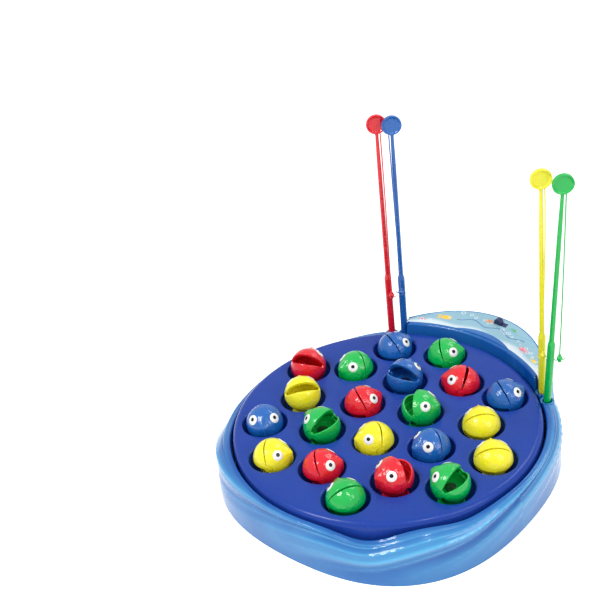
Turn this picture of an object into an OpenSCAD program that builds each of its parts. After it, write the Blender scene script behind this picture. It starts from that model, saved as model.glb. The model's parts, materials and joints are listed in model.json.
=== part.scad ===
// Magnetic fishing game: a wave-shaped tub holds a motor-driven turntable with 21 wells,
// a snapping fish in each well, and four rods with magnetic lures in sockets at the back.
// The origin is the turntable's axis on the floor, +Z is up and the banner is at +Y.

/* [Turntable] */
// Outer radius of the turntable
turn_r = 126.5; // [125.5:0.5:128]
// Height of its flat top above the floor
turn_top = 47; // [45:0.5:48]
// Thickness of its moulded wall
turn_wall = 2; // [1.6:0.1:2.4]
// Radius of its rounded-over edge
edge_round = 5; // [3:0.5:6]
// Height of its bottom edge above the floor
turn_skirt = 27; // [25:0.5:30]

/* [Wells] */
// Radius of a well's mouth
well_r = 18.5; // [17.5:0.25:19]
// Rounding of a well's lip
well_lip = 2; // [1:0.25:2.5]
// Radius of the ring with three wells
ring_a = 28.8; // [28.5:0.1:29.5]
// Radius of the second ring with three wells
ring_b = 53; // [52:0.5:54]
// Radius of the ring with six wells
ring_c = 77.5; // [76:0.5:79]
// Radius of the outer ring with nine wells
ring_d = 100.2; // [99:0.2:101]
// Half the angle between two paired wells on the six-well ring
pair_c = 22.5; // [21:0.5:24]
// Half the angle between two paired wells on the outer ring
pair_d = 13.3; // [12.5:0.1:14]
// Angle at which the pattern of wells starts
pattern_turn = 293; // [0:1:359]

/* [Fish] */
// Radius of a fish's round body
fish_r = 15.3; // [14.5:0.1:15.6]
// Thickness of its jaw shell
fish_wall = 1.6; // [1.4:0.1:1.8]
// Running gap between a jaw and the body under it
jaw_gap = 0.4; // [0.3:0.05:0.5]
// Width of the mouth's seam when it is shut
seam_gap = 0.6; // [0.4:0.1:0.8]
// Tilt of the seam towards the jaw
seam_tilt = 18; // [10:1:24]
// Reach of the back crest beyond the round body
crest_reach = 2.7; // [1.5:0.1:3]
// Radius of the stem collar that rides in a well's sleeve
stem_r = 10.6; // [9.5:0.1:11]
// Depth of the stem's foot below the hinge pin
stem_depth = 24; // [22:0.5:25]
// Radius of the hinge pins
pin_r = 1.5; // [1.2:0.1:1.8]
// Radius of the ear round each hinge pin
ear_r = 3.2; // [2.8:0.1:3.6]
// Widest opening of a jaw, in degrees
jaw_open = 42; // [30:1:44]
// Height of a shut fish's hinge pins over the turntable's flat top
sit_low = -0.5; // [-1:0.25:1]
// How much higher the track carries an open fish
track_lift = 4.5; // [3:0.25:5]
// Number of teeth in a mouth
teeth = 11; // [7:1:13]
// Radius of the magnet in a mouth
magnet_r = 4.5; // [3:0.1:5]
// Thickness of that magnet
magnet_h = 2; // [1:0.1:2.5]

/* [Tub] */
// Thickness of the tub's wall
tub_wall = 2.2; // [2:0.1:2.6]
// Gap between the turntable and the tub
pocket_gap = 2; // [1.5:0.1:2.5]
// Height of the tub's rim
rim_h = 43.5; // [42:0.5:45]
// Mean radius of the tub's foot
foot_r = 138; // [137:0.5:141]
// Depth of the four swells round the foot
swell = 4.5; // [2:0.5:5]
// Depth of the flowing folds in the wall
fold_depth = 2.2; // [0:0.1:2.5]
// Height of the banner's inner edge
banner_h = 54.5; // [52:0.5:57]
// Reach of the banner outwards at its middle
banner_reach = 28.5; // [24:0.5:32]
// Rise of the banner from its inner to its outer edge
banner_rise = 4; // [2:0.5:6]

/* [Rods] */
// Distance of the rod sockets from the turntable's axis
socket_at = 134; // [133:0.5:136]
// Height of a socket's mouth above the floor
socket_top = 41; // [38:0.5:43]
// Depth of a socket
socket_depth = 16; // [12:0.5:18]
// Radius of a socket's bore
socket_r = 3.9; // [3.8:0.05:4.2]
// Radius of the peg at a rod's foot
peg_r = 2.5; // [2.2:0.1:2.6]
// Length of a rod above its socket
rod_len = 205; // [203:0.5:206]
// Length of a rod's handle
handle_len = 62; // [56:1:66]
// Radius of a rod's handle
handle_r = 3.1; // [2.8:0.1:3.2]
// Radius of a rod's tip
tip_r = 1.4; // [1.2:0.1:1.6]
// Radius of the disc at a rod's tip
disc_r = 8.4; // [7.8:0.1:8.8]
// Thickness of that disc
disc_h = 3.4; // [2.6:0.1:3.8]
// Diameter of a fishing line
line_d = 1.1; // [0.8:0.1:1.3]
// Radius of a lure
lure_r = 2.3; // [2:0.1:2.4]

/* [Drive] */
// Size of a gear tooth, as pitch diameter over number of teeth
gear_module = 0.8; // [0.8:0.05:0.85]
// Teeth of the turntable's gear
hub_teeth = 40; // [40:4:40]
// Teeth of the motor's pinion
pinion_teeth = 12; // [12:1:12]
// Radius of the spindle that carries the turntable
spindle_r = 4; // [3.5:0.1:4.5]
// Running clearance on shafts and pins
shaft_gap = 0.05; // [0.03:0.01:0.08]
// Thickness of the base plate
base_h = 2.4; // [2:0.1:2.8]
// Height of the track floor's top face
floor_top = 17.5; // [17:0.25:18]
// Radius of the motor's can
motor_r = 6; // [5:0.25:6]

/* [Hidden] */
$fn = 48;
e = 0.01;
rest_gap = 0.2;
tub_steps = 84;
wall_steps = 10;
sweep_sides = 8;
banner_spread = 2.45;
pocket_r = turn_r + pocket_gap;
skin_r = pocket_r + tub_wall;
bowl_r = fish_r - fish_wall - jaw_gap;
cup_wall = turn_wall * 0.9;
neck_r = stem_r - 1.2;
sleeve_r = stem_r + jaw_gap;
sleeve_top = turn_top - 16;
sleeve_low = turn_top - 23;
track_top = turn_top + sit_low - stem_depth - rest_gap;
gear_r = hub_teeth * gear_module / 2;
pinion_r = pinion_teeth * gear_module / 2;
gear_low = base_h + 5.9;
gear_h = 6;
pinion_turn = 250;
pinion_at = (gear_r + pinion_r + 0.1) * [cos(pinion_turn), sin(pinion_turn)];
disc_side = 317.7;
peg_len = socket_depth - 2 * rest_gap;
shades = ["crimson", "gold", "seagreen", "steelblue"];
red = 0;
yellow = 1;
green = 2;
blue = 3;

// Wells in one third of the pattern: ring radius and angle
WELLS = [[ring_a, 0], [ring_b, 60], [ring_c, pair_c], [ring_c, -pair_c],
    [ring_d, 0], [ring_d, 60 + pair_d], [ring_d, 60 - pair_d]];
// One row for each fish, in the order of the wells: shade, facing angle and mouth opening
FISH = [
    [yellow, 238, 0], [green, 183, jaw_open], [red, 43, 0], [red, 253, jaw_open],
    [green, 156, 0], [blue, 316, 0], [yellow, 33, 0],
    [red, 60, 0], [blue, 98, 40], [green, 253, 0], [yellow, 143, 26],
    [red, 113, 30], [green, 38, 0], [blue, 67, 0],
    [green, 23, jaw_open], [blue, 248, 0], [yellow, 138, 0], [red, 213, 5],
    [blue, 58, 0], [green, 188, jaw_open], [yellow, 136, 0]];
// One row for each rod: shade, socket angle, lean sideways, lean backwards and turn of the lure's hooks
RODS = [[red, 128.5, -0.1, 1, -30], [blue, 123.6, 0.15, 0.1, -30],
    [yellow, 55.4, -1.4, -3.6, 0], [green, 50, 2.1, -3.4, 0]];

// Routes of the four fishing lines, from the disc at the rod's tip down to the lure
LINES = [
    [[-84.3, 109, 237.3], [-83.5, 108.3, 227], [-82.8, 107.6, 217], [-82.1, 106.9, 208],
        [-81.5, 106.3, 198], [-81, 105.7, 188], [-80.5, 105.2, 178], [-80.1, 104.7, 168],
        [-79.7, 104.2, 158], [-79.4, 103.8, 148], [-79.1, 103.4, 138], [-78.9, 103.1, 129],
        [-78.7, 102.8, 119], [-78.5, 102.6, 109], [-78.3, 102.5, 99], [-78.2, 102.3, 89]],
    [[-75.9, 110.2, 237.3], [-75.3, 109.5, 228], [-74.6, 109, 218], [-74, 108.5, 208],
        [-73.5, 108, 199], [-73, 107.7, 189], [-72.5, 107.3, 180], [-72.1, 107.1, 170],
        [-71.7, 106.8, 160], [-71.4, 106.7, 151], [-71.1, 106.5, 141], [-70.9, 106.4, 131],
        [-70.8, 106.3, 122], [-70.6, 106.3, 112], [-70.6, 106.2, 103], [-70.6, 106.2, 93]],
    [[83.9, 100.5, 236.8], [84.2, 100.5, 227], [84.4, 100.5, 217], [84.5, 100.4, 207],
        [84.6, 100.4, 197], [84.5, 100.3, 188], [84.4, 100.3, 178], [84.2, 100.4, 168],
        [84, 100.4, 158], [83.7, 100.5, 148], [83.4, 100.7, 138], [83.1, 100.9, 128],
        [82.7, 101.2, 119], [82.4, 101.6, 109], [82, 102.1, 99], [81.7, 102.6, 89]],
    [[101.5, 102.2, 236.8], [101.4, 102.1, 227], [101.3, 102, 217], [101.2, 101.9, 208],
        [101, 101.8, 198], [100.8, 101.8, 189], [100.6, 101.9, 179], [100.3, 101.9, 169],
        [100, 102, 160], [99.7, 102.1, 150], [99.3, 102.3, 140], [98.9, 102.5, 131],
        [98.5, 102.7, 121], [98, 102.9, 111], [97.5, 103.2, 102], [97, 103.4, 92]]];

function two(n) = n < 10 ? str("0", n) : str(n);

// Place of fish i, counted from 0
function well_ring(i) = WELLS[i % 7][0];
function well_angle(i) = pattern_turn - 120 * floor(i / 7) - WELLS[i % 7][1];
function lift(i) = FISH[i][2] > 10 ? track_lift : 0;
function hinge_z(i) = turn_top + sit_low + lift(i);
function smooth(x) = x <= 0 ? 0 : x >= 1 ? 1 : x * x * (3 - 2 * x);
function apart(a, b) = abs((a - b) - 360 * round((a - b) / 360));

module at_well(i) rotate(well_angle(i)) translate([well_ring(i), 0, 0]) children();
module at_fish(i)
    rotate(well_angle(i)) translate([well_ring(i), 0, hinge_z(i)])
        rotate(FISH[i][1] - well_angle(i)) children();

// A closed tube or shell through rings of points that all have the same count
module skin(rings, closed) {
    n = len(rings);
    m = len(rings[0]);
    points = [for (ring = rings) each ring];
    last = closed ? n - 1 : n - 2;
    walls = [for (i = [0:last], j = [0:m - 1])
        let (k = (j + 1) % m, p = i * m, q = ((i + 1) % n) * m)
        each [[p + j, q + k, p + k], [p + j, q + j, q + k]]];
    caps = closed ? [] : [[for (j = [0:m - 1]) j], [for (j = [m - 1:-1:0]) (n - 1) * m + j]];
    polyhedron(points, concat(walls, caps), convexity = 8);
}

// Tub: height and reach of its rim, and its wall, at angle a
function banner(a) = cos(min(90, banner_spread * apart(a, 90)));
function banner_step(a) = smooth((banner(a) - 0.02) * 5);
function rim(a) = rim_h - 9 * exp(-pow(apart(a, 304) / 11, 2)) - 3.5 * exp(-pow(apart(a, 337) / 10, 2))
    - 5 * smooth((55 - apart(a, 182)) / 30);
function inner_h(a) = rim(a) + (banner_h - rim(a)) * banner_step(a);
function outer_h(a) = inner_h(a) + banner_rise * banner(a) - 0.8 * (1 - banner(a));
function top_r(a) = pocket_r + 3.4 + banner_reach * banner(a);
function foot(a) = foot_r + swell * cos(4 * (a - 320)) + 0.72 * banner_reach * banner(a);
function fold(a, t) = fold_depth * sin(180 * t) * (1.6 * abs(sin(2 * a + 270 * t + 40)) - 1);
function wall_r(a, t) = top_r(a) + (foot(a) - top_r(a)) * pow(sin(90 * t), 0.7) + fold(a, t);
function wall_z(a, t) = outer_h(a) * pow(max(0, cos(90 * t)), 0.6);
function foot_in(a) = max(skin_r + 0.8, foot(a) - tub_wall);
function room(a) = foot(a) - tub_wall - skin_r;
function hollow_z(a) = base_h + 1 + (outer_h(a) - 4 - base_h) * smooth((room(a) - 1) / 6);
function tub_ring(a) = let (h = inner_h(a), g = outer_h(a), r = top_r(a), hz = hollow_z(a), f = foot(a))
    [for (p = concat(
        [[pocket_r, base_h + rest_gap], [pocket_r, h - 2], [pocket_r + 0.6, h - 0.6], [pocket_r + 1.8, h],
            [(pocket_r + 1.8 + r) / 2, (h + g) / 2], [r, g]],
        [for (s = [1:wall_steps]) let (t = s / wall_steps) [wall_r(a, t), t == 1 ? 0 : wall_z(a, t)]],
        [[foot_in(a), 0],
            [max(skin_r + 0.7, (r + f) / 2 - fold_depth - tub_wall), hz * 0.6],
            [max(skin_r + 0.6, r - tub_wall), hz], [skin_r, hz], [skin_r, base_h + rest_gap]]))
        [p[0] * cos(a), p[0] * sin(a), p[1]]];

module at_socket(i, lift = 0) rotate(RODS[i][1]) translate([socket_at, 0, socket_top + lift]) children();
collar_wall = 1.8;
module collars(r) for (i = [0:3]) rotate(RODS[i][1]) translate([socket_at, 0]) circle(r);

switch_at = [3, 153];
switch_travel = 5;
knob = [7, 5, 4];
knob_back = switch_at[1] + knob[1] / 2;
knob_low = banner_h + banner_rise * (knob_back - pocket_r - 1.8) / (banner_reach + 1.6) + 0.4;

module tub() color("cornflowerblue") difference() {
    union() {
        skin([for (i = [0:tub_steps - 1]) tub_ring(360 * i / tub_steps)], true);
        translate([0, 0, socket_top - socket_depth - collar_wall]) linear_extrude(socket_depth + 2 * collar_wall)
            collars(socket_r + collar_wall);
    }
    for (i = [0:3]) at_socket(i, -socket_depth) cylinder(r = socket_r, h = socket_depth + 20);
    translate([0, 0, socket_top]) linear_extrude(20) collars(socket_r + 2.2);
    translate([switch_at[0] - (knob[0] + switch_travel) / 2 - 0.5, switch_at[1] - 2.5, banner_h - 10])
        cube([knob[0] + switch_travel + 1, 5, 20]);
}

module switch_knob() color("midnightblue")
    translate([switch_at[0] - switch_travel / 2 - knob[0] / 2, switch_at[1], knob_low]) {
        translate([0, -knob[1] / 2 + 0.6, -7]) cube([knob[0], knob[1] - 1.2, 7]);
        translate([0, knob[1] / 2, 0]) rotate([90, 0, 0]) linear_extrude(knob[1])
            polygon([[0, 0], [knob[0], 0], [knob[0] - 1, knob[2] - 1], [knob[0] - 2, knob[2]], [2, knob[2]],
                [1, knob[2] - 1]]);
    }

// Battery compartment, in the base plate
battery = [62, 34];
battery_y = -69.5;
post_ring = 117;
base_inset = 1.2;

module base_plate() color("royalblue") {
    difference() {
        union() {
            linear_extrude(base_h) polygon([for (i = [0:tub_steps - 1]) let (a = 360 * i / tub_steps)
                (foot_in(a) - base_inset) * [cos(a), sin(a)]]);
            cylinder(r = spindle_r + 4, h = gear_low - 0.3);
            for (a = [30:60:330]) rotate(a) translate([post_ring, 0, 0]) cylinder(r = 4, h = floor_top - 2);
            translate([-battery[0] / 2 - 2, battery_y - battery[1] / 2 - 2, 0])
                cube([battery[0] + 4, battery[1] + 4, floor_top - 2.5]);
        }
        translate([-battery[0] / 2, battery_y - battery[1] / 2, -e])
            cube([battery[0], battery[1], floor_top - 4.5]);
        for (a = [30:60:330]) rotate(a) translate([post_ring, 0, -e]) cylinder(r = 2.2, h = base_h);
    }
    cylinder(r = spindle_r, h = turn_top - 6);
    for (a = [30:60:330]) rotate(a) translate([post_ring, 0, base_h - 1.2]) cylinder(r = 2, h = 1.4);
    for (x = [-1, 1]) translate([x * battery[0] / 2 - 1, battery_y - 6, 2.2]) cube([2, 12, 1.6]);
}

module battery_door() color("mediumblue")
    difference() {
        translate([-battery[0] / 2 + 0.3, battery_y - battery[1] / 2 + 0.3, 0.3])
            cube([battery[0] - 0.6, battery[1] - 0.6, 1.7]);
        for (x = [-12:4:12]) translate([x - 0.8, battery_y - 8, 0]) cube([1.6, 16, 0.9]);
    }

// Track floor: one wavy rail under each ring of wells, with a ramp under each raised fish
function ramp(r, a) = max([for (i = [0:20]) well_ring(i) == r && lift(i) > 0
    ? 1 - smooth(apart(a, well_angle(i)) * r * PI / 180 / 22) : 0]);
module rail(r, w, steps) skin([for (i = [0:steps - 1])
    let (a = 360 * i / steps, z = track_top - 2.6 + 2.6 * ramp(r, a), low = floor_top - 0.5)
        [for (p = [[r - w / 2, low], [r - w / 2 + 0.8, z], [r + w / 2 - 0.8, z], [r + w / 2, low]])
            [p[0] * cos(a), p[0] * sin(a), p[1]]]], true);

module track_floor() color("navy") {
    difference() {
        translate([0, 0, floor_top - 2]) cylinder(r = pocket_r - 0.4, h = 2, $fn = 96);
        translate([0, 0, floor_top - 3]) cylinder(r = gear_r + 6, h = 4);
    }
    rail(ring_a, 5, 40);
    rail(ring_b, 5, 48);
    rail(ring_c, 5, 60);
    rail(ring_d, 5, 72);
}

// A spur gear's outline, with its first tooth on the X axis
function gear_outline(n, m, play) = let (r = n * m / 2) [for (i = [0:n - 1], k = [0:5])
    let (a = 360 * (i + [-0.34, -0.23, -0.1, 0.1, 0.23, 0.34][k] * (1 - play)) / n,
        q = [r - 1.2 * m, r - 0.15 * m, r + 0.9 * m, r + 0.9 * m, r - 0.15 * m, r - 1.2 * m][k])
    [q * cos(a), q * sin(a)]];

module turntable() color("mediumblue") difference() {
    union() {
        rotate_extrude($fn = 120) turn_section();
        for (i = [0:20]) at_well(i) rotate_extrude() polygon([[0, turn_top - 1],
            [well_r + cup_wall, turn_top - 1], [well_r + cup_wall, turn_top - 5],
            [sleeve_r + cup_wall, sleeve_top - 1], [sleeve_r + cup_wall, sleeve_low], [0, sleeve_low]]);
        translate([0, 0, gear_low]) cylinder(r = spindle_r + 5, h = turn_top - 1 - gear_low);
        translate([0, 0, gear_low]) rotate(pinion_turn) linear_extrude(gear_h)
            polygon(gear_outline(hub_teeth, gear_module, 0.06));
    }
    for (i = [0:20]) at_well(i) rotate_extrude() well_section();
    translate([0, 0, gear_low - 1]) cylinder(r = spindle_r + shaft_gap, h = turn_top - 5 - gear_low);
}

module turn_section() {
    r = turn_r;
    q = edge_round;
    difference() {
        union() {
            translate([0, turn_skirt]) square([r, turn_top - q - turn_skirt]);
            translate([0, turn_top - q - e]) square([r - q, q + e]);
            translate([r - q, turn_top - q]) circle(q, $fn = 48);
        }
        translate([-e, turn_skirt - 1]) square([r - turn_wall + e, turn_top - q - turn_skirt + 1]);
        translate([-e, turn_top - q - 1]) square([r - q + e, q + 1 - turn_wall]);
        translate([r - q, turn_top - q]) circle(q - turn_wall, $fn = 48);
    }
}

// The space inside a well, from its rounded lip down to the open sleeve
module well_section() {
    difference() {
        lip = well_r + well_lip;
        polygon([[0, turn_top + 1], [lip, turn_top + 1], [lip, turn_top - well_lip],
            [well_r, turn_top - well_lip], [well_r, turn_top - 4], [sleeve_r, sleeve_top],
            [sleeve_r, sleeve_low - 1], [0, sleeve_low - 1]]);
        translate([well_r + well_lip, turn_top - well_lip]) circle(well_lip, $fn = 32);
    }
}

module pinion() color("white") translate([pinion_at[0], pinion_at[1], gear_low + 0.5]) difference() {
    rotate(pinion_turn + 180 + 180 / pinion_teeth) linear_extrude(gear_h - 1)
        polygon(gear_outline(pinion_teeth, gear_module, 0.1));
    translate([0, 0, -1]) cylinder(r = 1 + shaft_gap, h = gear_h + 2);
}

// Motor in its gearbox tray: the can lies beside the box, and the output shaft carries the pinion
tray = [26, 20];
module motor() color("silver") translate([pinion_at[0], pinion_at[1], base_h]) rotate(pinion_turn) {
    translate([-7, -tray[1] / 2, 0]) cube([tray[0], tray[1], gear_low - base_h - 0.2]);
    cylinder(r = 1, h = gear_low + gear_h - base_h);
    translate([13, tray[1] / 2 - e, motor_r]) rotate([-90, 0, 0]) cylinder(r = motor_r, h = 22);
    translate([13, tray[1] / 2 + 21, motor_r]) rotate([-90, 0, 0]) cylinder(r = 2, h = 3);
}

// Fish, with the hinge axis along Y through its own origin and its face towards +X
module head_side() translate([seam_gap, 0, 0]) rotate([90, 0, 0])
    linear_extrude(60, center = true) polygon([[0, -30], [0, 0], [-30 * sin(seam_tilt), 30 * cos(seam_tilt)],
        [30, 30], [30, -30]]);

crest_r = 24;
crest_at = [2.75, 1.6];
crest_edge = fish_r + crest_reach - norm(crest_at);
crest_off = sqrt(crest_r * crest_r - crest_edge * crest_edge);
module crest() intersection() {
    translate([crest_at[0], crest_off, crest_at[1]]) sphere(crest_r);
    translate([crest_at[0], -crest_off, crest_at[1]]) sphere(crest_r);
}

// Teeth: a zigzag rim inside the seam, in the plane of the mouth
module mouth_teeth() {
    r = bowl_r + jaw_gap;
    translate([seam_gap + 0.05, 0, 0]) rotate([0, -seam_tilt, 0]) rotate([90, 0, 90]) linear_extrude(1.2)
        polygon(concat([for (i = [0:2 * teeth]) let (a = 24 + (180 - 48) * i / (2 * teeth),
            q = i % 2 == 0 ? r - 0.2 : r - 1.9) [q * cos(a), q * sin(a)]],
            [for (i = [2 * teeth:-1:0]) let (a = 24 + (180 - 48) * i / (2 * teeth))
                [(r + 0.8) * cos(a), (r + 0.8) * sin(a)]]));
}

module fish_body(i) color(shades[FISH[i][0]]) at_fish(i) {
    difference() {
        union() {
            intersection() {
                union() {
                    sphere(fish_r);
                    crest();
                }
                head_side();
                translate([-30, -30, -stem_r - 1.8]) cube([60, 60, 60]);
            }
            intersection() {
                sphere(bowl_r);
                translate([-30, -30, -60]) cube([60, 60, 60]);
            }
        }
        difference() {
            sphere(bowl_r + jaw_gap);
            translate([-30, -30, -60]) cube([60, 60, 60]);
        }
        difference() {
            sphere(bowl_r - 1.6);
            translate([-30, -30, -60]) cube([60, 60, 60 - 5.5]);
        }
        for (s = [-1, 1]) rotate([s * 90, 0, 0]) translate([0, 0, bowl_r]) cylinder(r = ear_r + 0.4, h = 8);
    }
    mouth_teeth();
    for (s = [-1, 1]) rotate([s * 90, 0, 0])
        translate([0, 0, bowl_r - 0.8]) cylinder(r = pin_r, h = fish_wall + 1);
    rotate_extrude() polygon([[0, -9], [neck_r, -9], [neck_r, -12], [stem_r - 0.6, -12.4], [stem_r, -13],
        [stem_r, -stem_depth + 1], [stem_r - 1, -stem_depth], [0, -stem_depth]]);
}

// A jaw is a spherical shell turned about the hinge axis, with an ear round each hinge pin
jaw_lap = 4;
module jaw_shell() rotate([90, 0, 0])
    rotate_extrude(start = 90 + seam_tilt, angle = 90 - seam_tilt + jaw_lap)
    difference() {
        circle(fish_r);
        circle(bowl_r + jaw_gap);
        translate([-2 * fish_r, -fish_r]) square(2 * fish_r);
    }
module jaw_ear(s) rotate([s * 90, 0, 0]) rotate_extrude() intersection() {
    circle(fish_r);
    translate([0, bowl_r + jaw_gap]) square([ear_r, fish_r]);
}

module fish_jaw(i) color(shades[FISH[i][0]]) at_fish(i) rotate([0, -FISH[i][2], 0]) difference() {
    union() {
        jaw_shell();
        jaw_ear(1);
        jaw_ear(-1);
    }
    rotate([90, 0, 0]) cylinder(r = pin_r + shaft_gap, h = 4 * fish_r, center = true);
}

module magnets() color("dimgray") for (i = [0:20]) at_fish(i)
    translate([0, 0, -5.5]) cylinder(r = magnet_r, h = magnet_h);

// Rods: a tapered shaft on a handle, with a dished disc at its tip, leaning in its socket
side = [-sin(disc_side), cos(disc_side), 0];
front = [cos(disc_side), sin(disc_side), 0];
up = [0, 0, 1];
function socket(i) = [socket_at * cos(RODS[i][1]), socket_at * sin(RODS[i][1]), socket_top];
function lean(i) = let (v = side * tan(RODS[i][2]) - front * tan(RODS[i][3]) + up) v / norm(v);
module at_rod(i) {
    turn = disc_side + 90;
    lean_way = atan2(lean(i) * -front, lean(i) * side);
    translate(socket(i)) rotate(turn + lean_way)
        rotate([0, acos(lean(i)[2]), 0]) rotate(-lean_way) children();
}

module rod(i) color(shades[RODS[i][0]]) at_rod(i) {
    rotate_extrude() polygon([[0, -peg_len], [peg_r - 0.5, -peg_len], [peg_r, -peg_len + 1], [peg_r, 0],
        [handle_r, 0.5], [handle_r, handle_len - 4], [tip_r + 0.7, handle_len], [tip_r + 0.4, rod_len - 40],
        [tip_r, rod_len - disc_r - 2], [tip_r + 0.2, rod_len - disc_r], [0, rod_len - disc_r + 1]]);
    translate([0, disc_h / 2, rod_len]) rotate([90, 0, 0]) rotate_extrude() polygon([[0, 0],
        [disc_r - 0.6, 0], [disc_r, 0.6], [disc_r, disc_h - 0.3], [disc_r - 0.3, disc_h],
        [disc_r - 0.9, disc_h], [disc_r - 1.2, disc_h - 0.3], [disc_r - 2, disc_h - 1.2], [0, disc_h - 1.2]]);
}

// Lines: a thin tube along each route
function unit(v) = v / norm(v);
module tube(route, d) {
    last = len(route) - 1;
    skin([for (i = [0:last])
        let (t = unit(route[min(last, i + 1)] - route[max(0, i - 1)]), u = unit(cross(t, [0, 1, 0])),
            v = cross(t, u))
        [for (k = [0:sweep_sides - 1]) let (a = 360 * k / sweep_sides)
            route[i] + d / 2 * (u * cos(a) + v * sin(a))]], false);
}
module line(i) color(shades[RODS[i][0]]) tube(LINES[i], line_d);

// Lures: a ball with two upturned hooks and a magnet under it, on the end of each line
hook_r = 1.5;
wire_r = 0.5;
module lure() {
    translate([0, 0, -2.2]) cylinder(r1 = 1.5, r2 = 0.8, h = 2);
    translate([0, 0, -2 - lure_r]) sphere(lure_r);
    translate([0, 0, -2 - 2 * lure_r - 0.9]) cylinder(r = 1.6, h = 1.6);
    for (s = [0, 180]) rotate(s) translate([lure_r + hook_r - wire_r - 0.4, 0, -2 - lure_r])
        rotate([90, 0, 0]) rotate_extrude(start = 180, angle = 200)
            translate([hook_r, 0]) circle(wire_r, $fn = 16);
}
module lures() for (i = [0:3]) color(shades[RODS[i][0]])
    translate(LINES[i][len(LINES[i]) - 1]) rotate(disc_side + 90 + RODS[i][4]) lure();

tub();
base_plate();
battery_door();
track_floor();
turntable();
motor();
pinion();
switch_knob();
for (i = [0:20]) {
    fish_body(i);
    fish_jaw(i);
}
magnets();
rod(0);  // rod_red
rod(1);  // rod_blue
rod(2);  // rod_yellow
rod(3);  // rod_green
line(0);  // line_red
line(1);  // line_blue
line(2);  // line_yellow
line(3);  // line_green
lures();
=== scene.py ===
# %% [markdown]
# # A magnetic fishing game
#
# The game is a wave-shaped tub with a motor-driven turntable in it. Each of the 21 wells in the
# turntable holds a snapping fish, and four rods with magnetic lures stand in sockets at the back.
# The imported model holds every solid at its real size. This file gives it its looks: smooth surfaces
# worked out with numpy, and materials made of shader nodes.

# %% Load the frame
import json
import math
import bmesh
import bpy
import numpy as np
from mathutils import Matrix
from mathutils.geometry import delaunay_2d_cdt


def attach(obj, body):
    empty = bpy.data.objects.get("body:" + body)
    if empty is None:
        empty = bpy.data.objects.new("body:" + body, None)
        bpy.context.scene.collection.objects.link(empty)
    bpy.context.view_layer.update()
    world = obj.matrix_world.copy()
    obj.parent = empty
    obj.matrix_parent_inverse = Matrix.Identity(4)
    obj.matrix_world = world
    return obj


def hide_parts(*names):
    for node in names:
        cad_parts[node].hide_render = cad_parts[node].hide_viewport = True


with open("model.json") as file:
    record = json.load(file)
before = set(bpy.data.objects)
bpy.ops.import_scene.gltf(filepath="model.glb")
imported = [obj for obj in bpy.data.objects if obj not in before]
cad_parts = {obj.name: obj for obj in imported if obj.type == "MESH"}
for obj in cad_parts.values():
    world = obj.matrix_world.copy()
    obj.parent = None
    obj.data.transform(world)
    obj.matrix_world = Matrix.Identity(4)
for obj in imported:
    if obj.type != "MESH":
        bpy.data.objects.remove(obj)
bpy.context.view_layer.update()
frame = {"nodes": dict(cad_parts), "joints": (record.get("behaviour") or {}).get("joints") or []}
MM = 0.001

# %% [markdown]
# ## Camera
#
# The picture was taken from the front right, looking down by about a third of a right angle, with
# the camera rolled a little. It aims past the game's left, because the game stands in the right half
# of the picture. The camera's axes are worked out from its direction and its roll. A long lens keeps
# the rods nearly parallel.

# %% Camera
AZIMUTH = math.radians(47.7)
ELEVATION = math.radians(31.8)
ROLL = math.radians(6.8)
DISTANCE = 1155
LOOK_AT = np.array([-180.6, 85.4, 51.0])
LENS, SENSOR, CLIP_END = 73.08, 36, 20


def placing(x, y, z, at):
    """A matrix whose columns are three axes and a place in metres."""
    matrix = np.eye(4)
    matrix[:3] = np.column_stack([x, y, z, at])
    return Matrix(matrix.tolist())


right = np.array([math.cos(AZIMUTH), math.sin(AZIMUTH), 0])
level_back = np.array([math.sin(AZIMUTH), -math.cos(AZIMUTH), 0])
back = level_back * math.cos(ELEVATION) + [0, 0, math.sin(ELEVATION)]
up = np.cross(back, right)
image_x = right * math.cos(ROLL) - up * math.sin(ROLL)
image_y = right * math.sin(ROLL) + up * math.cos(ROLL)
camera = bpy.data.objects.new("camera", bpy.data.cameras.new("camera"))
camera.data.lens = LENS
camera.data.sensor_width = SENSOR
camera.data.clip_end = CLIP_END
camera.matrix_world = placing(image_x, image_y, back, (LOOK_AT + DISTANCE * back) * MM)
bpy.context.scene.collection.objects.link(camera)
bpy.context.scene.camera = camera
bpy.context.scene.view_settings.view_transform = "Standard"
print("camera at", [round(v, 3) for v in camera.location])

# %% [markdown]
# ## Mesh helpers
#
# Every new piece is a grid of points computed as whole arrays. A grid's faces follow from its number
# of rows and columns, so one function serves a lathe, a tube and a wavy wall alike. The mesh is
# filled with foreach_set, points that meet are merged, and the faces are made to point outwards.

# %% Grids, lathes and tubes
def grid_faces(rows, cols, close_rows=False, close_cols=False):
    """Corners of each quad of a grid numbered row by row; a closed way joins its last line to its first."""
    row = np.arange(rows if close_rows else rows - 1)
    col = np.arange(cols if close_cols else cols - 1)
    i, j = np.meshgrid(row, col, indexing="ij")
    k, m = (i + 1) % rows, (j + 1) % cols
    return np.stack([i * cols + j, i * cols + m, k * cols + m, k * cols + j], axis=-1).reshape(-1, 4)


def grid(points, close_rows=False, close_cols=False):
    """A part from a rows x cols x 3 array of points: the flat list of points and the quads between them."""
    return points.reshape(-1, 3), grid_faces(points.shape[0], points.shape[1], close_rows, close_cols)


def full_turn(steps):
    """Angles of one turn in radians, without the last one, which would repeat the first."""
    return np.linspace(0, 2 * np.pi, steps, endpoint=False)


def lathe(profile, steps=64):
    """Turns (radius, height) pairs about Z: x is radius times cos a, y is radius times sin a."""
    profile = np.asarray(profile, float)
    radius, height = profile[:, 0], profile[:, 1]
    a = full_turn(steps)[:, None]
    return grid(np.stack([radius * np.cos(a), radius * np.sin(a), height + 0 * a], axis=-1), close_rows=True)


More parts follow.
